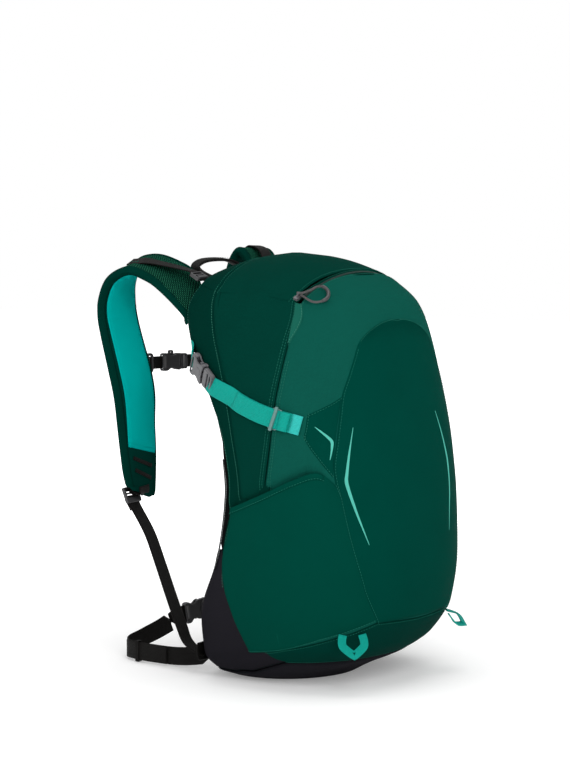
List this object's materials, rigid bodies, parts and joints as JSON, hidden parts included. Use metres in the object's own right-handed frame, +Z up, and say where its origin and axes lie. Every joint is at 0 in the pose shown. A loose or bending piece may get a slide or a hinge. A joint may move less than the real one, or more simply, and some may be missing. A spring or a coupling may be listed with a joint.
{
  "type": "hiking backpack",
  "caption": "Frontloading hiking daypack with a zipped top flap, side pockets, compression straps, padded shoulder harness, chest strap and hip belt.",
  "frame": {"origin": "on the floor, in the middle plane of the pack, at the front end of the flat patch of its base", "axes": "+Z up, -Y the outer front of the pack, +Y the harness side, -X the wearer's left"},
  "size_m": [0.28, 0.3689, 0.4571],
  "materials": {
    "back_mesh": "black spacer mesh over foam",
    "frame_plastic": "plain",
    "pack_fabric": "plain woven nylon, dark green",
    "trim_fabric": "plain woven nylon, darker green",
    "base_fabric": "heavier woven nylon, dark grey",
    "strap_fabric": "foam pad under woven nylon",
    "lining_fabric": "brushed knit",
    "black_webbing": "woven webbing",
    "bright_webbing": "woven webbing",
    "black_buckle": "moulded, satin",
    "grey_buckle": "moulded, satin",
    "glide_plastic": "moulded, satin",
    "zip_metal": "cast slider, painted",
    "puller_cord": "braided cord in a soft sleeve"
  },
  "bodies": {
    "pack": {"back_panel": "back_mesh", "frame_sheet": "frame_plastic", "yoke_panel": "trim_fabric", "rear_band_left": "trim_fabric", "rear_band_right": "trim_fabric", "side_panel_left": "pack_fabric", "side_panel_right": "pack_fabric", "top_panel": "pack_fabric", "front_panel": "pack_fabric", "shield": "pack_fabric", "wing_left": "trim_fabric", "wing_right": "trim_fabric", "side_pocket_left": "pack_fabric", "side_pocket_right": "pack_fabric", "front_base_panel": "trim_fabric", "base_panel": "base_fabric", "lower_back_panel": "base_fabric", "zip_tape_body": "trim_fabric", "zip_garage_left": "pack_fabric", "zip_garage_right": "pack_fabric", "compression_tab_left": "bright_webbing", "compression_tab_right": "bright_webbing", "compression_buckle_left": "grey_buckle", "compression_buckle_right": "grey_buckle", "compression_strap_left": "bright_webbing", "compression_strap_right": "bright_webbing", "tri_glide_left": "glide_plastic", "tri_glide_right": "glide_plastic", "lifter_buckle_left": "black_buckle", "lifter_buckle_right": "black_buckle", "lower_webbing_left": "black_webbing", "lower_webbing_right": "black_webbing"},
    "flap": {"front_flap": "pack_fabric", "shield_top": "pack_fabric", "zip_tape_flap": "trim_fabric"},
    "slider": {"zip_slider": "zip_metal", "zip_puller": "puller_cord"},
    "haul_loop": {"haul_loop": "black_webbing"},
    "tool_loop_left": {"tool_loop_left": "bright_webbing"},
    "tool_loop_right": {"tool_loop_right": "bright_webbing"},
    "harness": {"shoulder_strap_left": "strap_fabric", "shoulder_strap_right": "strap_fabric", "strap_lining_left": "lining_fabric", "strap_lining_right": "lining_fabric", "load_lifter_left": "black_webbing", "load_lifter_right": "black_webbing", "ladder_lock_left": "black_buckle", "ladder_lock_right": "black_buckle"},
    "chest_strap": {"sternum_clips": "black_buckle", "sternum_webbing_left": "black_webbing", "sternum_webbing_right": "black_webbing", "sternum_buckle": "black_buckle"},
    "chest_plug": {"sternum_plug": "black_buckle"},
    "hip_belt": {"hip_belt_left": "black_webbing", "hip_belt_right": "black_webbing", "hip_buckle": "black_buckle"},
    "hip_plug": {"hip_plug": "black_buckle"},
    "compression_plug_left": {"compression_plug_left": "grey_buckle"},
    "compression_plug_right": {"compression_plug_right": "grey_buckle"}
  },
  "joints": [
    {"name": "flap_fold", "type": "hinge", "parent": "pack", "child": "flap", "pos_m": [0, -0.0745, 0.358], "axis": [1, 0, 0], "range_deg": [0, 60], "deforming": ["zip_puller"]},
    {"name": "zip_run", "type": "hinge", "parent": "pack", "child": "slider", "pos_m": [0, 0.0346, 0.2837], "axis": [0, 0.9336, 0.3584], "range_deg": [0, 66]},
    {"name": "haul_swing", "type": "hinge", "parent": "pack", "child": "haul_loop", "pos_m": [0, 0.1508, 0.4211], "axis": [1, 0, 0], "range_deg": [0, 50]},
    {"name": "tool_loop_left_swing", "type": "hinge", "parent": "pack", "child": "tool_loop_left", "pos_m": [-0.0852, -0.0744, 0.0632], "axis": [0.7412, -0.6713, 0], "range_deg": [-45, 0]},
    {"name": "tool_loop_right_swing", "type": "hinge", "parent": "pack", "child": "tool_loop_right", "pos_m": [0.0852, -0.0744, 0.0632], "axis": [0.7412, 0.6713, 0], "range_deg": [-35, 20]},
    {"name": "harness_swing", "type": "hinge", "parent": "pack", "child": "harness", "pos_m": [0, 0.1519, 0.4319], "axis": [1, 0, 0], "range_deg": [0, 20], "stiffness_Nm_per_rad": 0.4},
    {"name": "chest_height", "type": "slide", "parent": "harness", "child": "chest_strap", "axis": [0, 0.1203, 0.9927], "range_m": [-0.01, 0.01]},
    {"name": "chest_release", "type": "slide", "parent": "chest_strap", "child": "chest_plug", "axis": [0.9772, -0.2119, 0.0118], "range_m": [0, 0.02], "deforming": ["sternum_webbing_right"]},
    {"name": "hip_lift", "type": "hinge", "parent": "pack", "child": "hip_belt", "pos_m": [0, 0.1184, 0.0162], "axis": [1, 0, 0], "range_deg": [0, 28], "stiffness_Nm_per_rad": 0.05},
    {"name": "hip_release", "type": "slide", "parent": "hip_belt", "child": "hip_plug", "axis": [0.9629, -0.2006, 0.1805], "range_m": [0, 0.022], "deforming": ["hip_belt_right"]},
    {"name": "side_release_left", "type": "slide", "parent": "pack", "child": "compression_plug_left", "axis": [-0.2198, -0.7992, -0.5594], "range_m": [0, 0.016], "deforming": ["compression_strap_left"]},
    {"name": "side_release_right", "type": "slide", "parent": "pack", "child": "compression_plug_right", "axis": [0.2198, -0.7992, -0.5594], "range_m": [0, 0.016], "deforming": ["compression_strap_right"]}
  ],
  "couplings": [
    {"joint": "zip_run", "follows": "flap_fold", "ratio": 1.1}
  ]
}
